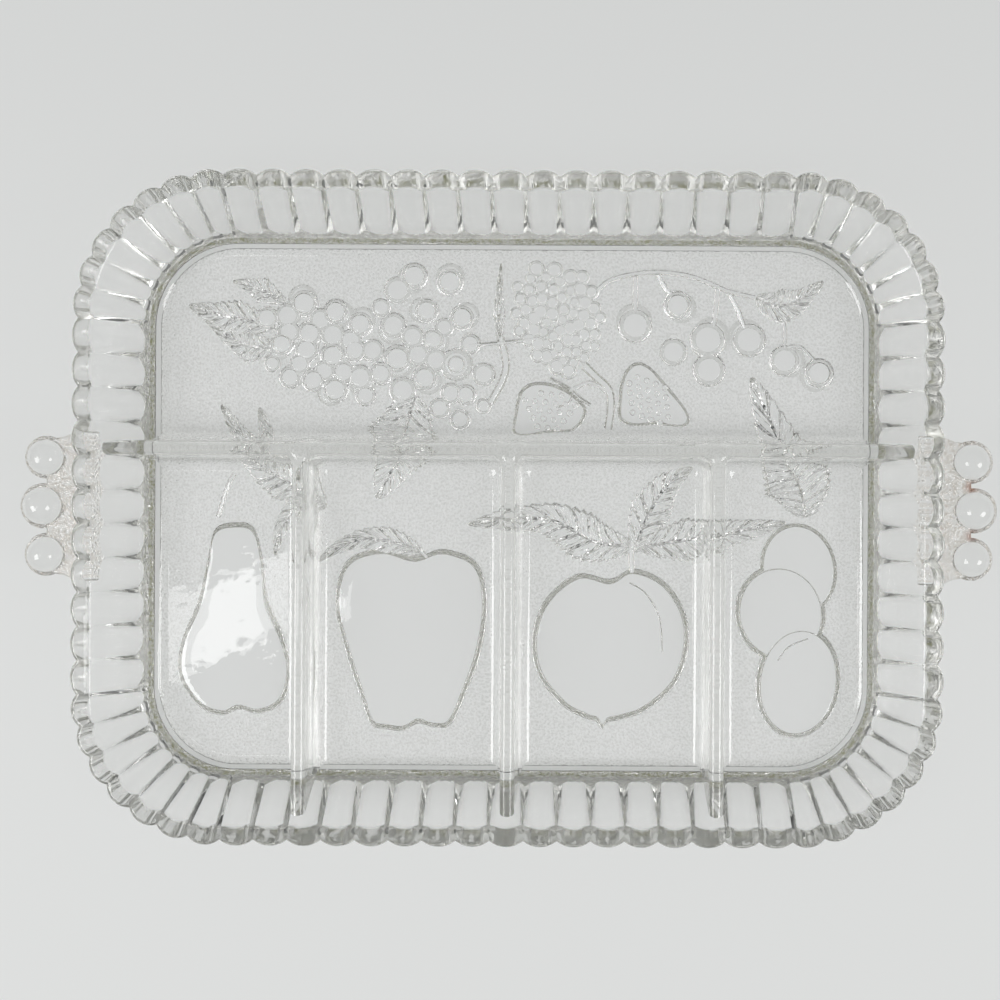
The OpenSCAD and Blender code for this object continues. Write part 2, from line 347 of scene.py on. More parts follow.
def rib_outline(half, z):
    """The ribs' outline from above, where a rib is half wide on each side."""
    reach = inside_at(z) + IN_WALL
    end_x, end_y = STRAIGHT_X + reach, -(STRAIGHT_Y + reach)
    points = [(end_x, LONG_RIB_Y + half), (-end_x, LONG_RIB_Y + half), (-end_x, LONG_RIB_Y - half)]
    for x in reversed(SHORT_RIB_X):
        low = LONG_RIB_Y - half
        west, east = x - half, x + half
        points += corner_arc((west - ALONG, low), (west, low), (west, end_y), MEET_RADIUS, 5)
        points += [(west, end_y), (east, end_y)]
        points += corner_arc((east, end_y), (east, low), (east + ALONG, low), MEET_RADIUS, 5)
    points.append((end_x, LONG_RIB_Y - half))
    return [Vector((p[0], p[1], z)) for p in points]


root, ridge = (ROOT / 2, FLOOR_TOP), (RIDGE / 2, RIDGE_HEIGHT)
root_edge = corner_arc((ALONG, FLOOR_TOP), root, ridge, FILLET, 6)
ridge_edge = corner_arc(root, ridge, (0, RIDGE_HEIGHT), RIDGE_ROUND, 5)
steps = [Vector((root_edge[0].x, FLOOR_TOP - IN_FLOOR))] + root_edge
steps += [root_edge[-1].lerp(ridge_edge[0], share) for share in THIRDS] + ridge_edge
ribs = loft("ribs", [rib_outline(p.x, p.y) for p in steps])
print("ribs:", len(ribs.data.polygons), "faces")

# %% [markdown]
# ## The handles
#
# Each end has three solid glass balls in a row, joined to the wall by a thin tab. The two
# halves of the mould meet at a ball's equator and leave a low belt there. From above it shows
# as a ring inside the ball's outline. So a ball starts as a sphere, and all but the rows at
# its equator are drawn in a little. The tab's shoulders are hollow, and its edges are
# fire-polished round, which a small bevel gives. Its root ends inside the wall, so that the
# Boolean has no faces that only touch.

# %% Balls and tabs
BALL_HEIGHT = 22.0
MIDDLE_BALL, OUTER_BALL = 15.9, 15.1
MIDDLE_BALL_X = 163.0
OUTER_BALL_X = 161.9
BALL_SPACING = 17.0
BALL_AROUND, BALL_UP = 40, 36
BELT_HEIGHT, BELT_STEP = 2.0, 1.3
TAB_THICKNESS, TAB_WIDTH, TAB_EDGE = 3.0, 52.0, 1.0
SHOULDER_REACH, HOLLOW_REACH, HOLLOW_DEPTH = 0.42, 0.45, 0.5


def ball(x, y, diameter):
    """A ball with a belt: its domes are a little narrower than its equator, and as high."""
    bm = bmesh.new()
    radius = diameter / 2
    bmesh.ops.create_uvsphere(bm, u_segments=BALL_AROUND, v_segments=BALL_UP, radius=radius)
    for vert in bm.verts:
        if abs(vert.co.z) > BELT_HEIGHT / 2:
            drawn_in = 1 - BELT_STEP / radius * (1 - (vert.co.z / radius) ** 2)
            vert.co = (vert.co.x * drawn_in, vert.co.y * drawn_in, vert.co.z)
    bmesh.ops.translate(bm, vec=(x, y, BALL_HEIGHT), verts=bm.verts[:])
    return finish_mesh(bm, "ball")


def tab(side):
    """The tab at one end, from the middle of the wall out to the balls."""
    outside = crest_at(BALL_HEIGHT) - FLUTE_DEPTH - CORE_COVER
    root_x = STRAIGHT_X + (outside + inside_at(BALL_HEIGHT)) / 2
    wall_x = STRAIGHT_X + CORNER_RADIUS
    hollow_x = wall_x + HOLLOW_REACH * (OUTER_BALL_X - wall_x)
    broad, narrow = TAB_WIDTH / 2, BALL_SPACING + SHOULDER_REACH * OUTER_BALL
    hollow_y = (broad + narrow) / 2 - HOLLOW_DEPTH
    half = [(root_x, broad), (wall_x, broad), (hollow_x, hollow_y), (OUTER_BALL_X, narrow)]
    outline = [(x, -y) for x, y in half] + [(x, y) for x, y in reversed(half)]
    bm = bmesh.new()
    low = BALL_HEIGHT - TAB_THICKNESS / 2
    face = bm.faces.new([bm.verts.new((side * x, y, low)) for x, y in outline])
    grown = bmesh.ops.extrude_face_region(bm, geom=[face])["geom"]
    top = [g for g in grown if isinstance(g, bmesh.types.BMVert)]
    bmesh.ops.translate(bm, vec=(0, 0, TAB_THICKNESS), verts=top)
    level = [e for e in bm.edges if abs(e.verts[0].co.z - e.verts[1].co.z) < TAB_THICKNESS / 2]
    bmesh.ops.bevel(
        bm, geom=level, affect="EDGES", offset=TAB_EDGE, offset_type="OFFSET", segments=3,
        profile=0.5, material=-1,
    )
    return finish_mesh(bm, "tab")


handles = []
for side in (-1, 1):
    handles.append(tab(side))
    handles.append(ball(side * MIDDLE_BALL_X, 0, MIDDLE_BALL))
    for y in (-BALL_SPACING, BALL_SPACING):
        handles.append(ball(side * OUTER_BALL_X, y, OUTER_BALL))
combine(tray, [ribs] + handles, "UNION")

# %% [markdown]
# ## The figures under the floor
#
# The fruit and leaves are intaglio: raised figures on the bottom of the mould pressed hollows
# into the underside, one to two millimetres deep, so the top stays smooth to wipe. Seen from
# above, a hollow's steep side bends the light away and shows as a dark line with a bright one
# beside it, and its bed shows clear. So a figure is modelled as the stamp that made it: an
# outline with steep, gritty sides and a gently domed top, cut out of the floor. The faces of
# its sides are marked, and the glass reads the marks later.

# %% Stamps for fruit and berries
UNDERSIDE = FOOT_HEIGHT
# A stamp starts a little below the underside. What lies near its highest face is its bed.
BELOW, BED_DEPTH = 0.6, 0.2


def on_curve(p, t):
    """The place at t, from 0 to 1, between the second and third of four points, and the
    direction there (a Catmull-Rom curve)."""
    bend, twist = 2 * p[0] - 5 * p[1] + 4 * p[2] - p[3], 3 * p[1] - p[0] - 3 * p[2] + p[3]
    place = 0.5 * ((2 * p[1]) + (p[2] - p[0]) * t + bend * t * t + twist * t**3)
    return place, 0.5 * ((p[2] - p[0]) + 2 * bend * t + 3 * twist * t * t)


def smooth_outline(points, per_side):
    """A closed outline that runs smoothly through a few points."""
    n, made = len(points), []
    for i in range(n):
        near = [Vector(points[(i + k) % n]) for k in (-1, 0, 1, 2)]
        made += [on_curve(near, j / per_side)[0] for j in range(per_side)]
    return made


def stamp(outline, profile, name, rough_and_shaded=1):
    """A stamp with this outline. The profile gives each step's width inwards and its rise.
    Its last argument is how gritty its sides are, and how much painted shade they get, from 0 to 1."""
    middle = sum(outline, Vector((0, 0))) / len(outline)
    inwards = [(middle - p).normalized() for p in outline]
    width, z = 0, UNDERSIDE
    loops = [[Vector((p.x, p.y, level)) for p in outline] for level in (z - BELOW, z)]
    for step, rise in profile:
        width, z = width + step, z + rise
        loops.append([(p + n * width).to_3d() + Vector((0, 0, z)) for p, n in zip(outline, inwards)])
    piece = loft(name, loops)
    bed = max(face.center.z for face in piece.data.polygons) - BED_DEPTH * MM
    mark_faces(piece.data, "graved", lambda face: rough_and_shaded * (face.center.z < bed))
    return piece


# Steps as shares of the side's width and depth, then the dome of the bed in millimetres
FRUIT_STEPS = [(0.05, 0.04), (0.16, 0.4), (0.12, 0.08), (0.36, 0.12), (0.16, 0.3), (0.12, 0.06)]
FRUIT_DOME = [(2.5, 0.12), (3.0, 0.05)]


def fruit_side(depth, width):
    """Two steep steps with a gritty slope between them, then a bed that rises to the middle."""
    return [(w * width, h * depth) for w, h in FRUIT_STEPS] + FRUIT_DOME


# Steps as shares of the berry's radius and depth
BERRY_STEPS = [(0.02, 0.04), (0.1, 0.54), (0.05, 0.07), (0.1, 0.06), (0.07, 0.22), (0.03, 0.04),
               (0.2, 0.05), (0.25, 0.02)]
# The berries' sides get less grit and less painted shade than the fruit's
BERRY_GRIT_AND_SHADE = 0.4
LARGE_BERRY, SMALL_BERRY = 3.5, 1.5


def bowl(x, y, radius, depth):
    """A round berry: a steep side, a gentle shoulder, a second step and a clear flat bed."""
    points = 24 if radius > LARGE_BERRY else 16 if radius > SMALL_BERRY else 8
    spokes = [Matrix.Rotation(math.tau * i / points, 2) @ Vector((radius, 0)) for i in range(points)]
    ring = [spoke + Vector((x, y)) for spoke in spokes]
    return stamp(ring, [(w * radius, h * depth) for w, h in BERRY_STEPS], "berry", BERRY_GRIT_AND_SHADE)


print("fruit, berries and leaves are cut from z =", UNDERSIDE, "mm upwards")


# %% The large fruit in the front wells
def placed(shape, x, y, width, height, turn):
    """A shape drawn in shares of its half width and half height, put in its place."""
    spin = Matrix.Rotation(math.radians(turn), 2)
    return [spin @ Vector((p[0] * width / 2, p[1] * height / 2)) + Vector((x, y)) for p in shape]


APPLE = [(0.05, 0.9), (0.42, 0.98), (0.85, 0.83), (0.98, 0.4), (0.9, -0.15), (0.7, -0.62),
         (0.52, -0.93), (0.3, -0.96), (0.1, -0.92), (-0.1, -1.0), (-0.32, -0.98), (-0.5, -0.94),
         (-0.62, -0.7), (-0.84, -0.15), (-0.98, 0.4), (-0.84, 0.84), (-0.4, 0.98)]
PEACH = [(0, 0.84), (0.3, 0.97), (0.7, 0.8), (0.96, 0.4), (0.99, -0.06), (0.82, -0.5),
         (0.45, -0.82), (0.14, -0.93), (-0.03, -0.97), (-0.1, -1.05), (-0.17, -0.96), (-0.3, -0.92),
         (-0.6, -0.76), (-0.92, -0.36), (-0.99, 0.12), (-0.82, 0.58), (-0.42, 0.9)]
PEAR = [(0, 0.99), (0.34, 0.94), (0.5, 0.62), (0.6, 0.2), (0.88, -0.2), (1.0, -0.55), (0.84, -0.86),
        (0.45, -0.97), (0.1, -0.93), (-0.2, -0.99), (-0.6, -0.9), (-0.94, -0.6), (-0.92, -0.25),
        (-0.62, 0.2), (-0.46, 0.62), (-0.34, 0.92)]
PLUM = [(math.cos(math.tau * i / 12), math.sin(math.tau * i / 12)) for i in range(12)]
STRAWBERRY = [(-0.42, 0.95), (0, 0.93), (0.41, 0.72), (0.72, 0.42), (0.97, 0), (0.87, -0.45),
              (0.57, -0.78), (0.01, -0.85), (-0.65, -1.0), (-0.98, -0.87), (-0.96, -0.28),
              (-0.86, 0.45), (-0.7, 0.78)]
LONG_STRAWBERRY = [(-1.0, -0.71), (-0.79, -0.92), (-0.44, -0.99), (0.08, -0.93), (0.6, -1.0),
                   (0.9, -0.96), (1.0, -0.77), (0.88, -0.44), (0.57, 0.02), (0.15, 0.56),
                   (-0.16, 0.88), (-0.48, 1.0), (-0.77, 0.79), (-0.94, 0.37), (-1.0, -0.17)]
# Name, outline, place, width, height, turn in degrees, how many points make each stretch of
# the outline, and the depth and the width of the figure's side
FRUIT = [
    ("pear", PEAR, -101, -41, 42, 71, 0, 6, 1.5, 2.0),
    ("apple", APPLE, -36.5, -48, 56.5, 67, 0, 6, 1.5, 2.1),
    ("peach", PEACH, 36, -50, 57.5, 58, 0, 6, 1.5, 2.1),
    ("plum", PLUM, 104.5, -22, 28, 34, 10, 5, 0.9, 1.6),
    ("plum", PLUM, 98, -38, 33, 36, 15, 5, 1.3, 1.9),
    ("plum", PLUM, 104.5, -63, 31, 41, -8, 5, 1.7, 2.0),
    ("strawberry", STRAWBERRY, 13.7, 35.9, 27.6, 20.8, 0, 5, 1.2, 1.4),
    ("strawberry", LONG_STRAWBERRY, 51.6, 41.5, 26.2, 23.7, 0, 5, 1.2, 1.4),
]
figures = []
for name, shape, x, y, width, height, turn, points, depth, side_width in FRUIT:
    outline = smooth_outline(placed(shape, x, y, width, height, turn), points)
    figures.append(stamp(outline, fruit_side(depth, side_width), name))
print(len(figures), "large fruit")

# %% The grapes and the berry branch
# x, y, radius, and 1 for a berry that lies over its neighbours
GRAPES = [
    (-42, 79, 5.2, 0), (-36, 84, 5.2, 1), (-23, 82, 5.2, 1), (-48, 72.5, 3.6, 0), (-31.5, 71.5, 4.6, 1),
    (-18.5, 69, 4.8, 1), (-43.5, 66, 5, 1), (-36.5, 62, 4.4, 0), (-29, 61, 4.2, 1), (-51, 57, 4.4, 0),
    (-55.5, 66.5, 4.8, 1), (-42, 54, 5.4, 1), (-34.5, 55.5, 4.4, 0), (-20.5, 52, 6.2, 0),
    (-20.5, 52, 4, 1), (-28, 53.5, 4.4, 0), (-32, 47, 4.8, 1), (-40, 42.5, 5.2, 0), (-10.5, 48.5, 4.4, 0),
    (-17, 41, 4, 1), (-22.5, 41.5, 4, 0), (-10.5, 37, 3, 1), (-19, 32, 4, 1), (-26.5, 36, 4, 0),
    (-25, 65.5, 3.6, 0), (-15.5, 59.5, 4, 0), (-89.5, 68.5, 4.4, 0), (-82, 69.5, 4.8, 0),
    (-76, 74, 5.2, 1), (-64.5, 71, 4.8, 1), (-70, 68, 4.4, 0), (-81.5, 63.5, 4.4, 0), (-74, 63, 4.8, 0),
    (-65.5, 62.5, 4.8, 0), (-59, 60.5, 4.4, 0), (-84, 59, 4.4, 1), (-75, 57, 4.6, 1),
    (-65.5, 55, 4.8, 1), (-57.5, 57, 4.4, 0), (-81, 47, 4.2, 1), (-77.5, 52, 4, 0), (-72.5, 46, 4.4, 0),
    (-68.5, 49.5, 4, 0), (-64.5, 42.5, 5, 1), (-61.5, 49, 4.4, 0), (-55.5, 47, 5, 1),
    (-53.5, 40.5, 4, 0), (-48, 48.5, 4.4, 0), (-87.5, 52, 3.2, 0),
]
BRANCH_BERRIES = [
    (44.5, 66.5, 6.4, 1), (60, 74, 5.4, 1), (58.5, 57, 5.2, 0), (71, 61.5, 6.8, 1), (71.5, 50.5, 6.2, 0),
    (86, 61.5, 6.4, 1), (99, 54, 5.8, 1), (111.5, 49.5, 5.6, 1),
]
# How deep a berry lies over its neighbours, under them, or wholly behind them
OVER, UNDER, BEHIND, DEPTH_STEP = 1.6, 1.2, 0.6, 0.24
BEHIND_ASIDE, BEHIND_TURN, BEHIND_LARGER, BEHIND_STEP = 1.7, 2.4, 0.2, 0.1
BACKED_RADIUS = 4
berries = []
for i, (x, y, radius, over) in enumerate(GRAPES + BRANCH_BERRIES):
    # Berries differ a little in depth, which keeps the beds of most neighbours apart
    berries.append(bowl(x, y, radius, (OVER if over else UNDER) + DEPTH_STEP * (i % 3 - 1)))
    if over and radius > BACKED_RADIUS:
        # Part of the next berry behind shows as a crescent
        aside = Vector((BEHIND_ASIDE, 0)) @ Matrix.Rotation(BEHIND_TURN * i, 2)
        depth = BEHIND + BEHIND_STEP * (i % 2)
        berries.append(bowl(x + aside.x, y + aside.y, radius + BEHIND_LARGER, depth))
print(len(berries), "grapes and branch berries, with those behind")

# %% The seeds of the strawberries and the drupelets of the raspberry
# A strawberry's seeds sit in pits, in rows set off by half a step, over an egg-shaped field
SEED_STEP, ROW_STEP, SEED_PIT, PIT_STEP, SEED_DEPTH = 3.7, 0.82, 1.25, 0.1, 2.15
SEED_FIELD, SEED_TAPER = 0.38, 0.25
SEED_FIELDS = ((13.5, 35.2, 26, 19, -6), (49.6, 39.4, 22, 25, 38))
grapes = len(berries)
for x, y, width, height, turn in SEED_FIELDS:
    spin = Matrix.Rotation(math.radians(turn), 2)
    for row in range(-3, 4):
        for column in range(-4, 5):
            spot = Vector(((column + row % 2 / 2) * SEED_STEP, row * ROW_STEP * SEED_STEP))
            taper = 1 + SEED_TAPER * spot.y / height
            across, along = spot.x / (SEED_FIELD * width * taper), spot.y / (SEED_FIELD * height)
            if across**2 + along**2 < 1:
                spot = spin @ spot + Vector((x, y))
                berries.append(bowl(spot.x, spot.y, SEED_PIT + PIT_STEP * (column % 3), SEED_DEPTH))
print(len(berries) - grapes, "seed pits")

# The raspberry is a heap of drupelets. Each turns on by the golden angle, as they grow,
# which packs them evenly without rows, and they differ in size and depth.
DRUPELETS, GOLDEN_TURN = 62, math.radians(137.5)
HEAP_X, HEAP_Y, HEAP_HALF_WIDTH, HEAP_HALF_HEIGHT = 16.5, 68.5, 16.0, 19.5
HEAP_WIDENS, HEAP_LEANS, HEAP_START = 0.012, 0.12, 0.6
DRUPELET_RADIUS, RADIUS_STEP = 2.1, 0.35
DRUPELET_DEPTH, HEAP_DEPTH_STEP = 0.7, 0.22
for i in range(DRUPELETS):
    out_here = math.sqrt((i + HEAP_START) / DRUPELETS)
    x = HEAP_HALF_WIDTH * out_here * math.cos(i * GOLDEN_TURN)
    y = HEAP_HALF_HEIGHT * out_here * math.sin(i * GOLDEN_TURN)
    x = x * (1 + HEAP_WIDENS * y) - HEAP_LEANS * y + HEAP_X
    radius = DRUPELET_RADIUS + RADIUS_STEP * (i * 7 % 4)
    depth = DRUPELET_DEPTH + HEAP_DEPTH_STEP * (i * 5 % 4)
    berries.append(bowl(x, y + HEAP_Y, radius, depth))
print(DRUPELETS, "drupelets")

# %% [markdown]
# ## Leaves and stems
#
# A leaf is a strip along its midrib. A grid gives the strip rows and columns, and each vertex
# is moved to its place: out to the toothed edge, and up into the glass. The side veins and the
# midrib stand as thin ridges between hollows, which is what catches the light. A stem is the
# same strip with a plain edge and no veins.


# %% Leaves and stems as strips
def along_path(points, share):
    """A place on a smooth open path, and the direction there."""
    n = len(points) - 1
    at = min(share * n, n - 1e-6)
    i = int(at)
    t = at - i
    near = [Vector(points[max(0, min(n, i + k))]) for k in (-1, 0, 1, 2)]
    place, slope = on_curve(near, t)
    return place, slope.normalized()


# A face is a side where its normal rises less than this, and part of a bed where it rises more
BED_RISE = 0.8
ABOVE_UNDERSIDE = 0.02
VEIN_SLANT = 1.1


def strip(name, path, half_width, height, rows, steps, veins=0):
    """A closed strip along a path. half_width(u, v) and height(u, v) shape it. u runs from 0
    to 1 along it, and v from -1 to 1 across it."""
    bm = bmesh.new()
    bmesh.ops.create_grid(bm, x_segments=steps, y_segments=len(rows) - 1, size=0.5)
    spread = {}
    for vert in bm.verts:
        u = vert.co.x + 0.5
        v = rows[round((vert.co.y + 0.5) * (len(rows) - 1))]
        place, ahead = along_path(path, u)
        side = Vector((-ahead.y, ahead.x))
        spot = place + side * v * half_width(u, v)
        vert.co = (spot.x, spot.y, UNDERSIDE + height(u, v))
        spread[vert] = Vector((u * veins - VEIN_SLANT * abs(v), v * half_width(u, v), 0))
    # The glass reads which vein it is at, and how far across the leaf in millimetres
    chart = bm.loops.layers.float_vector.new("leaf_chart")
    for face in bm.faces:
        for corner in face.loops:
            corner[chart] = spread[corner.vert]
    rim = [e for e in bm.edges if e.is_boundary]
    wall = bmesh.ops.extrude_edge_only(bm, edges=rim)["geom"]
    for vert in [g for g in wall if isinstance(g, bmesh.types.BMVert)]:
        vert.co.z = UNDERSIDE - BELOW
    bmesh.ops.contextual_create(bm, geom=[e for e in bm.edges if e.is_boundary])
    piece = finish_mesh(bm, name)
    mark_faces(piece.data, "graved", lambda face: abs(face.normal.z) < BED_RISE)
    mark_faces(piece.data, "veined", lambda face: name == "leaf" and face.normal.z >= BED_RISE)
    return piece


LEAF_ROWS = (-1, -0.92, -0.74, -0.5, -0.28, -0.07, 0.07, 0.28, 0.5, 0.74, 0.92, 1)
LEAF_DEPTH, STEPS_PER_TOOTH = 1.15, 10
# Shares of a leaf's length: where it is widest, and where its depth is full at stalk and tip
FULLEST, STALK_END, TIP_END = 0.42, 0.03, 0.02
# How its outline swells from the stalk and closes to the tip
STALK_CURVE, TIP_CURVE, LEAST_WIDTH = 0.62, 0.8, 0.03
# Shares of its width: the body, the teeth, and how far across the teeth begin and reach
BODY_WIDTH, TOOTH_WIDTH, TOOTH_FROM, TOOTH_REACH = 0.9, 0.2, 0.7, 0.3
EDGE_WIDTH, MIDRIB_WIDTH = 0.08, 0.2
# Shares of its depth at a vein, and added between the veins
AT_VEIN, BETWEEN_VEINS = 0.55, 0.45


def leaf(path, width, teeth):
    """A toothed leaf from its stalk to its tip."""
    def half_width(u, v):
        swelling, closing = u / FULLEST, (1 - u) / (1 - FULLEST)
        body = swelling**STALK_CURVE if u < FULLEST else closing**TIP_CURVE
        tooth = (u * teeth * 2) % 1
        outer = max(0, abs(v) - TOOTH_FROM)
        share = LEAST_WIDTH + body * (BODY_WIDTH + TOOTH_WIDTH * tooth * outer / TOOTH_REACH)
        return width / 2 * share

    def height(u, v):
        ends = min(1, u / STALK_END, (1 - u) / TIP_END)
        edge = min(1, (1 - abs(v)) / EDGE_WIDTH) * ends
        vein = abs(math.sin(math.pi * (u * teeth - VEIN_SLANT * abs(v))))
        midrib = min(1, abs(v) / MIDRIB_WIDTH)
        share = edge * (AT_VEIN + BETWEEN_VEINS * math.sqrt(vein) * midrib)
        return LEAF_DEPTH * share + ABOVE_UNDERSIDE

    return strip("leaf", path, half_width, height, LEAF_ROWS, STEPS_PER_TOOTH * teeth, teeth)


STEM_ROWS, STEM_STEPS = (-1, -0.9, -0.55, 0, 0.55, 0.9, 1), 16


def stem(path, width=2.0, depth=1.1):
    """A plain stalk, round in section."""
    def height(u, v):
        return depth * math.sqrt(max(0, 1 - v * v)) + ABOVE_UNDERSIDE

    return strip("stem", path, lambda u, v: width / 2, height, STEM_ROWS, STEM_STEPS)


leaves = [
    leaf([(44, -14), (30, -12), (12, -4), (-16, -6)], 17, 11),
    leaf([(44.5, -16), (49, -4), (56, 8), (66, 16)], 15, 8),
    leaf([(46, -14), (60, -12), (78, -9), (100, -5)], 15, 10),
    leaf([(-32, -17), (-42, -13), (-56, -12), (-73, -20)], 10, 8),
    leaf([(107, -3), (105, 8), (99, 20), (87, 48)], 25, 11),
    leaf([(-4.5, 58), (-5, 68), (-5, 78), (-4.3, 89)], 4.4, 5),
    leaf([(-35.5, 41), (-39, 28), (-42, 18), (-49, 3)], 25, 10),
    leaf([(-68, 0), (-80, 8), (-92, 16), (-106, 37)], 15, 10),
    leaf([(-86, 65), (-98, 68), (-108, 70), (-118, 73)], 13, 7),
    leaf([(-82, 73), (-90, 78), (-95, 80), (-102, 82)], 9, 5),
    leaf([(-86, 58), (-94, 58), (-100, 60), (-112, 68)], 12, 7),
    leaf([(88.5, 77), (96, 74), (104, 76), (113, 83)], 13, 8),
    leaf([(-70, 3), (-78, -1), (-84, -8), (-86, -18)], 8, 6),
    leaf([(-92, 36), (-90, 28), (-89, 18), (-90, 8)], 6, 6),
]
stems = [
    stem([(30.5, 79), (36.5, 83.5), (50.5, 86), (65, 84.5), (77.5, 79.5), (88, 77)], 1.8),
    stem([(44.5, 84.5), (44.5, 78), (44.5, 71)]), stem([(53, 85), (55, 81), (58, 77)]),
    stem([(74.5, 80), (74, 74), (73, 66)]), stem([(79, 78), (82, 72), (84.5, 65)]),
    stem([(98.5, 71), (99, 66), (99, 58)], 1.4), stem([(100, 59), (105, 59), (110, 54)], 1.4),
    stem([(-4.5, 62), (-2.5, 50), (-8, 38)], 3.0),
    stem([(-16, 59), (-4.5, 60), (8.5, 61.5)], 1.5, 1.5),
    stem([(22.5, 43.5), (27.5, 45.6), (31, 44.6), (34.6, 42.2)], 1.6),
    stem([(26, 52), (30, 48), (35, 43), (35.8, 36), (34.8, 28.8)], 3.2),
    # The sepals of the rounder strawberry
    stem([(13.8, 47.2), (17, 45.5), (21, 43.3)], 1.5, 1.9),
    stem([(21.6, 42.6), (24.8, 39.8), (28.4, 37.6)], 1.5, 1.7),
    stem([(16.1, 36.5), (20.6, 38.4), (22, 42)], 1.0, 1.9),
    stem([(44, -11), (43.5, -17), (44, -24)], 2.4),
    stem([(-33, -16), (-30, -19), (-27, -22)], 1.8),
    stem([(-107, -4), (-104, 6), (-101, 12)], 1.8),
    # The creases down the side of the peach and over the lowest plum
    stem([(43, -27), (49, -31), (54, -40), (55, -52)], 0.9, 1.95),
    stem([(97, -55), (101, -50), (108, -47)], 0.9, 2.15),
]
print(len(leaves), "leaves and", len(stems), "stems")
# The tray's own faces start without these marks, and the stamps bring theirs
for name in ("graved", "veined"):
    mark_faces(tray.data, name, lambda face: False)
cutters = figures + berries + leaves + stems
stamped = combine(cutters[0], cutters[1:], "UNION")
combine(tray, [stamped], "DIFFERENCE")

# %% [markdown]
# ## Smooth faces and crisp edges
#
# Pressed glass is smooth, with crisp valleys. Faces are shaded smooth, edges that turn
# sharply are marked, and weighted normals keep the broad flat faces truly flat, because a
# bent normal on a flat pane would bend what shows through it.

# %% Shading of the shell
SHARP_ANGLE = math.radians(32)
mesh = tray.data
mesh.polygons.foreach_set("use_smooth", [True] * len(mesh.polygons))
mesh.set_sharp_from_angle(angle=SHARP_ANGLE)
weights = tray.modifiers.new("flat panes stay flat", "WEIGHTED_NORMAL")
weights.mode, weights.weight, weights.keep_sharp = "FACE_AREA", 50, True
check = bmesh.new()
check.from_mesh(mesh)
open_edges = sum(1 for e in check.edges if len(e.link_faces) != 2)
volume = check.calc_volume() / MM**3
check.free()
mesh.calc_loop_triangles()
print("shell:", len(mesh.loop_triangles), "triangles,", open_edges, "open edges,", round(volume), "mm3")

# %% [markdown]
# ## The glass
#
# Soda-lime glass pressed in an iron mould: index 1.50, almost clear, with a faint grey-green
# cast that only shows where the glass is thick. The top is fire-polished. The ground under
# the floor was stippled in the mould like fine cloth, which hides wear and sets off the clear
# figures. The foot of the wall is hammered, and the sides of the figures are gritty. All of it
# is one material, which reads the marks on the faces, and the finer relief is a bump. The
# marked faces are also painted grey, as painted shade for the light that they scatter and bend away.


# %% Materials
def linear(hex_colour):
    """An sRGB hex colour as linear red, green, blue and alpha."""
    parts = [int(hex_colour[i : i + 2], 16) / 255 for i in (1, 3, 5)]
    return [c / 12.92 if c <= 0.04045 else ((c + 0.055) / 1.055) ** 2.4 for c in parts] + [1]


def add(tree, kind, settings=None, **links):
    """Adds a node. settings are its values, and links are the sockets that feed its inputs."""
    node = tree.nodes.new(kind)
    for name, value in (settings or {}).items():
        if isinstance(name, int) or name in node.inputs:
            node.inputs[name].default_value = value
        else:
            setattr(node, name, value)
    for name, socket in links.items():
        place = int(name) if name.isdigit() else name.replace("_", " ")
        tree.links.new(socket, node.inputs[place])
    return node


def feed(tree, node, place, value):
    """Gives an input of a node its value, or the socket that the value comes from."""
    if isinstance(value, bpy.types.NodeSocket):
        tree.links.new(value, node.inputs[place])
    else:
        node.inputs[place].default_value = value


def maths(tree, operation, first, *others):
    """Numbers or sockets worked into one, from left to right."""
    for other in others:
        node = add(tree, "ShaderNodeMath", {"operation": operation})
        feed(tree, node, 0, first)
        feed(tree, node, 1, other)
        first = node.outputs[0]
    return first


def between(tree, first, second, share, clamp=True):
    """A colour between two others, each a hex colour or a socket. Without the clamp, a share
    above 1 goes past the second."""
    node = add(tree, "ShaderNodeMix", {"data_type": "RGBA", "clamp_factor": clamp}, Factor=share)
    # A Mix node has its two colours at inputs 6 and 7, and the mixed one at output 2
    for place, colour in ((6, first), (7, second)):
        feed(tree, node, place, linear(colour) if isinstance(colour, str) else colour)
    return node.outputs[2]


def mapped(tree, value, low, high, at_low=0.0, at_high=1.0):
    """A value that runs from low to high, made to run from at_low to at_high."""
    limits = {"From Min": low, "From Max": high, "To Min": at_low, "To Max": at_high}
    return add(tree, "ShaderNodeMapRange", limits, Value=value).outputs[0]


NEAR, NEAR_BAND, NEAR_TAB, TAB_OVERLAP = 0.02, 0.15, 0.1, 1.0
FACES_DOWN = -0.99


def from_axes(face):
    """Distance of a face from the corner axes, in millimetres, and its height."""
    x, y, z = (c / MM for c in face.center)
    return Vector((max(0, abs(x) - STRAIGHT_X), max(0, abs(y) - STRAIGHT_Y))).length, z


def on_ground(face):
    """The flat ground between the figures."""
    reach, z = from_axes(face)
    return reach < FOOT_INNER and face.normal.z < FACES_DOWN and abs(z - UNDERSIDE) < NEAR


def on_foot_band(face):
    """The plain foot of the wall, from the foot ring up to the arches."""
    reach, z = from_axes(face)
    low_enough = FOOT_HEIGHT - NEAR < z < FOOT_BAND_TOP
    return low_enough and FOOT_OUTER + NEAR < reach < band_at(z) + NEAR_BAND


def on_tab(face):
    """The two tabs and the belts of the balls, where fingers and dirt reach first."""
    x, _, z = (c / MM for c in face.center)
    outside = abs(x) > STRAIGHT_X + CORNER_RADIUS - TAB_OVERLAP
    return outside and abs(z - BALL_HEIGHT) < TAB_THICKNESS / 2 + NEAR_TAB


print("stippled faces:", mark_faces(mesh, "stippled", on_ground))
print("dusty faces:", mark_faces(mesh, "dusty", on_tab))
print("hammered faces:", mark_faces(mesh, "hammered", on_foot_band))
for name in ("graved", "veined"):
    print(name, "faces:", sum(1 for mark in mesh.attributes[name].data if mark.value > 0))

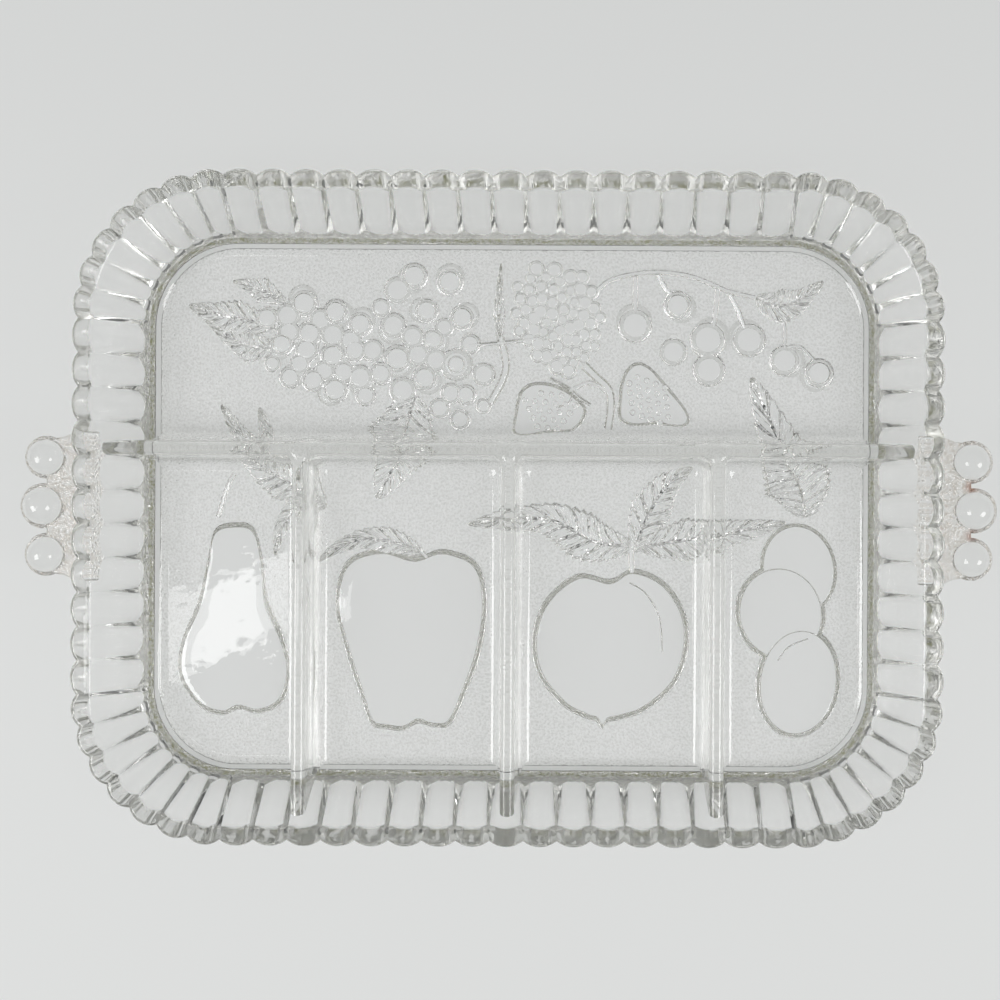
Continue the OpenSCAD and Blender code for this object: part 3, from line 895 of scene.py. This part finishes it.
# %% The relief that is too fine to model
# Sizes of the grains, and how high they stand, in millimetres
STIPPLE, HAMMER, GRAVING, RIPPLE, WAVE = 0.9, 1.4, 0.8, 4.0, 14.0
STIPPLE_HEIGHT, HAMMER_HEIGHT, GRAVING_HEIGHT, DUST_HEIGHT = 0.5, 1.2, 0.7, 0.3
RIPPLE_HEIGHT, WAVE_HEIGHT = 0.03, 0.15
VEIN_STEP, HAIR_WIDTH, HAIR_LENGTH = 5.2, 1.25, 3.8
VEIN_HEIGHT, MIDRIB_HEIGHT, HAIR_HEIGHT = 0.7, 0.6, 1.5
glass = bpy.data.materials.new("pressed_soda_lime_glass")
glass.use_nodes = True
tree = glass.node_tree
tree.nodes.clear()
place = add(tree, "ShaderNodeTexCoord").outputs["Object"]


def noise(size, detail):
    """A noise whose grains are about this many millimetres across."""
    settings = {"Scale": 1 / (size * MM), "Detail": detail}
    return add(tree, "ShaderNodeTexNoise", settings, Vector=place).outputs[0]


def marked(name, output="Fac"):
    """What an attribute of the mesh says here."""
    return add(tree, "ShaderNodeAttribute", {"attribute_name": name}).outputs[output]


stippled, hammered, graved = marked("stippled"), marked("hammered"), marked("graved")
veined, dusty = marked("veined"), marked("dusty")
fine, coarse, grit = noise(STIPPLE, 1.5), noise(HAMMER, 2.0), noise(GRAVING, 1.0)
ripples, waves = noise(RIPPLE, 1.0), noise(WAVE, 1.0)

# Along the leaf's own veins and midrib runs a fine crest, with hairs of glass between them
chart = add(tree, "ShaderNodeSeparateXYZ", Vector=marked("leaf_chart", "Vector"))
aside = maths(tree, "ABSOLUTE", chart.outputs["Y"], 0)
along = maths(tree, "MULTIPLY", chart.outputs["X"], VEIN_STEP)
across_vein = maths(tree, "PINGPONG", along, VEIN_STEP / 2)
lowered = maths(tree, "MINIMUM", across_vein, VEIN_HEIGHT)
vein = maths(tree, "SUBTRACT", VEIN_HEIGHT, lowered)
lowered = maths(tree, "MINIMUM", aside, MIDRIB_HEIGHT)
midrib = maths(tree, "SUBTRACT", MIDRIB_HEIGHT, lowered)
hair_x = maths(tree, "DIVIDE", along, HAIR_WIDTH)
hair_y = maths(tree, "DIVIDE", chart.outputs["Y"], HAIR_LENGTH)
spot = add(tree, "ShaderNodeCombineXYZ", X=hair_x, Y=hair_y).outputs[0]
hairs = add(tree, "ShaderNodeTexNoise", {"Scale": 1.0, "Detail": 1.0}, Vector=spot).outputs[0]
crest = maths(tree, "MAXIMUM", vein, midrib)
leaf_height = maths(tree, "ADD", crest, maths(tree, "MULTIPLY", hairs, HAIR_HEIGHT))

# Cloth-like pits, dust, hammered dents and gritty sides, each where its mark is, then the
# leaves, and a slow wave and fine ripples all over
height = maths(
    tree, "ADD",
    maths(tree, "MULTIPLY", stippled, STIPPLE_HEIGHT, fine),
    maths(tree, "MULTIPLY", dusty, DUST_HEIGHT, grit),
    maths(tree, "MULTIPLY", hammered, HAMMER_HEIGHT, coarse),
    maths(tree, "MULTIPLY", graved, GRAVING_HEIGHT, grit),
    maths(tree, "MULTIPLY", leaf_height, veined),
    maths(tree, "MULTIPLY", waves, WAVE_HEIGHT),
    maths(tree, "MULTIPLY", ripples, RIPPLE_HEIGHT),
)
bump = add(tree, "ShaderNodeBump", {"Strength": 1.0, "Distance": MM}, Height=height)
print("relief: grains of", STIPPLE, "mm on the ground and", HAMMER, "mm on the foot")

# %% The glass and what lies on it
# The second colour is the grey of the painted shade on rough and steep faces
CLEAR_GLASS, PAINTED_SHADE_GREY, DUST, RUST = "#FDFDFD", "#F0F0EF", "#B9A78F", "#96501F"
# How much painted shade the marked faces get, as a share of the way from clear to the shade grey. Above 1
# is darker than the grey colour.
STIPPLE_SHADE, GRAVED_SHADE, HAMMERED_SHADE, VEINED_SHADE = 2.0, 4.8, 6.0, 0.3
# A noise lies mostly near 0.5. These ends of its range give the grains and specks contrast.
GRAIN_LOW, GRAIN_HIGH, SPECK_LOW, SPECK_HIGH = 0.44, 0.62, 0.45, 0.62
THIN_DUST, THICK_DUST = 0.1, 0.55
# Roughness of polished and of stippled glass, and the share of it on the foot and the sides
POLISHED, GROUND, HALF_GROUND = 0.008, 0.25, 0.3
STAIN_CORE, STAIN_EDGE, STAIN_PATCHES, STAIN_GAPS = 0.8 * MM, 3.4 * MM, 2.2, 0.3

# Painted shade: the stippled, gritty, hammered and veined faces are painted grey, in grains, in place of
# the light that rough glass scatters and steep sides bend away
rough_and_shaded = maths(tree, "MAXIMUM", hammered, graved)
grains = mapped(tree, fine, GRAIN_LOW, GRAIN_HIGH)
painted_shade = maths(
    tree, "ADD",
    maths(tree, "MULTIPLY", grains, STIPPLE_SHADE, maths(tree, "MAXIMUM", stippled, rough_and_shaded)),
    maths(tree, "MULTIPLY", graved, GRAVED_SHADE),
    maths(tree, "MULTIPLY", hammered, HAMMERED_SHADE),
    maths(tree, "MULTIPLY", veined, VEINED_SHADE),
)
tint = between(tree, CLEAR_GLASS, PAINTED_SHADE_GREY, painted_shade, clamp=False)
blurring = maths(tree, "MAXIMUM", stippled, maths(tree, "MULTIPLY", rough_and_shaded, HALF_GROUND))
roughness = maths(tree, "ADD", maths(tree, "MULTIPLY", blurring, GROUND), POLISHED)

# A thin film, in specks, lies all over the tabs and the balls' belts
specks = mapped(tree, grit, SPECK_LOW, SPECK_HIGH, THIN_DUST, THICK_DUST)
dusted = between(tree, tint, DUST, maths(tree, "MULTIPLY", dusty, specks))
# Years of washing leave a rust-brown stain in the crevices between the balls at the right
distances = []
for y in (BALL_SPACING / 2, -BALL_SPACING / 2):
    away = add(tree, "ShaderNodeVectorMath", {"operation": "DISTANCE"})
    feed(tree, away, 0, place)
    feed(tree, away, 1, Vector((OUTER_BALL_X, y, BALL_HEIGHT)) * MM)
    distances.append(away.outputs["Value"])
stain = mapped(tree, maths(tree, "MINIMUM", *distances), STAIN_CORE, STAIN_EDGE, 1.0, 0.0)
patches = maths(tree, "ADD", maths(tree, "MULTIPLY", ripples, STAIN_PATCHES), -STAIN_GAPS)
stained = between(tree, dusted, RUST, maths(tree, "MULTIPLY", stain, patches))
shader = add(tree, "ShaderNodeBsdfPrincipled", {"IOR": 1.5, "Transmission Weight": 1.0},
             Base_Color=stained, Roughness=roughness, Normal=bump.outputs["Normal"])

# Light that meets the glass at a shallow angle is bent aside and leaves a shadow. Lamps' rays
# and those between matt surfaces go straight through, so the table is lit evenly under it.
UNSHADED, SHADED, SHADE_CURVE = "#FFFFFF", "#A0A19F", 4.0
facing = add(tree, "ShaderNodeLayerWeight", {"Blend": 0.5}).outputs["Facing"]
shade = between(tree, UNSHADED, SHADED, maths(tree, "POWER", facing, SHADE_CURVE))
clear = add(tree, "ShaderNodeBsdfTransparent", Color=shade)
path = add(tree, "ShaderNodeLightPath")
straight = maths(tree, "MAXIMUM", path.outputs["Is Shadow Ray"], path.outputs["Is Diffuse Ray"])
surface = add(tree, "ShaderNodeMixShader",
              **{"0": straight, "1": shader.outputs[0], "2": clear.outputs[0]})
depth = add(tree, "ShaderNodeVolumeAbsorption", {"Color": linear("#C9CABE"), "Density": 6.0})
add(tree, "ShaderNodeOutputMaterial", Surface=surface.outputs[0], Volume=depth.outputs[0])
mesh.materials.clear()
mesh.materials.append(glass)
print("glass:", len(tree.nodes), "nodes")

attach(tray, "root")
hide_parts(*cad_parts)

# %% [markdown]
# ## The table, the light and the camera
#
# The tray stands on a plain pale table in soft daylight. Clear glass shows what is around it,
# so the light matters more than the material: the pale sky gives the bright panes, and the
# darker edge of the room gives the dark lines in the valleys and figures. Two windows in front
# of the tray, at its left and right, draw the crisp bright lines, and a ceiling lamp mirrors
# over the pear.

# %% Table
TABLE_HALF = 3.0
bm = bmesh.new()
bmesh.ops.create_grid(bm, x_segments=1, y_segments=1, size=TABLE_HALF)
table = bpy.data.objects.new("table", bpy.data.meshes.new("table"))
bm.to_mesh(table.data)
bm.free()
bpy.context.scene.collection.objects.link(table)
paper = bpy.data.materials.new("matt_white_paper")
paper.use_nodes = True
paper.node_tree.nodes["Principled BSDF"].inputs["Base Color"].default_value = linear("#E4E5E4")
paper.node_tree.nodes["Principled BSDF"].inputs["Roughness"].default_value = 0.9
table.data.materials.append(paper)
print("table:", 2 * TABLE_HALF, "m square")

# %% World and lamps
LOW_GREY, HIGH_GREY, HIGH_FROM = "#4A4B4A", "#CDCECE", 0.75
# The room is darker behind the tray than in front of it
IN_FRONT, AT_BACK, FRONT_LIGHT, BACK_LIGHT = -0.6, 0.6, 1.05, 0.4
world = bpy.data.worlds.new("soft room")
bpy.context.scene.world = world
world.use_nodes = True
tree = world.node_tree
tree.nodes.clear()
ray = add(tree, "ShaderNodeSeparateXYZ", Vector=add(tree, "ShaderNodeTexCoord").outputs["Generated"])
ramp = add(tree, "ShaderNodeValToRGB", Fac=ray.outputs["Z"])
low, high = ramp.color_ramp.elements
low.position, low.color = 0.0, linear(LOW_GREY)
high.position, high.color = HIGH_FROM, linear(HIGH_GREY)
strength = mapped(tree, ray.outputs["Y"], IN_FRONT, AT_BACK, FRONT_LIGHT, BACK_LIGHT)
light = add(tree, "ShaderNodeBackground", Color=ramp.outputs["Color"], Strength=strength)
add(tree, "ShaderNodeOutputWorld", Surface=light.outputs[0])


def area_lamp(name, place, aim, width, height, power):
    """A lamp at a place, turned to its aim, with its sizes in metres and its power in watts."""
    lamp = bpy.data.lights.new(name, "AREA")
    lamp.shape, lamp.size, lamp.size_y, lamp.energy = "RECTANGLE", width, height, power
    holder = bpy.data.objects.new(name, lamp)
    bpy.context.scene.collection.objects.link(holder)
    holder.location = place
    holder.rotation_euler = (Vector(aim) - Vector(place)).to_track_quat("-Z", "Y").to_euler()


area_lamp("left window", (-0.85, -0.3, 1.0), (0, 0.12, 0), 0.55, 0.5, 6.8)
area_lamp("right window", (0.85, -0.34, 1.0), (0, 0.12, 0), 0.5, 0.5, 6.2)
area_lamp("ceiling lamp", (-0.41, -0.146, 1.2), (-0.1, -0.04, 0), 0.09, 0.24, 0.22)

# %% Camera
# The photograph looks straight down from half a metre, with the tray a little off its axis.
EYE = Vector((27.7, 5.5, 530.0)) * MM
PIXELS, FOCAL_PIXELS = 1000, 1449
AXIS_X, AXIS_Y = 588, 493
ROLL = 0.0055
SENSOR = 36
camera = bpy.data.objects.new("camera", bpy.data.cameras.new("camera"))
bpy.context.scene.collection.objects.link(camera)
camera.location = EYE
camera.rotation_euler = (0, 0, ROLL)
camera.data.sensor_width = SENSOR
camera.data.lens = SENSOR * FOCAL_PIXELS / PIXELS
camera.data.shift_x = (PIXELS / 2 - AXIS_X) / PIXELS
camera.data.shift_y = (AXIS_Y - PIXELS / 2) / PIXELS
camera.data.clip_start, camera.data.clip_end = 0.01, 20
bpy.context.scene.camera = camera
bpy.context.scene.view_settings.view_transform = "Standard"

# Light is trapped in the thick rim and leaves it after many reflections, so the rays need
# more bounces than usual. With too few, the rim and the valleys would turn black.
cycles = bpy.context.scene.cycles
cycles.max_bounces, cycles.glossy_bounces, cycles.transmission_bounces = 32, 24, 24
cycles.transparent_max_bounces = 24
print("camera:", round(EYE.z, 2), "m up, lens", round(camera.data.lens, 1), "mm")
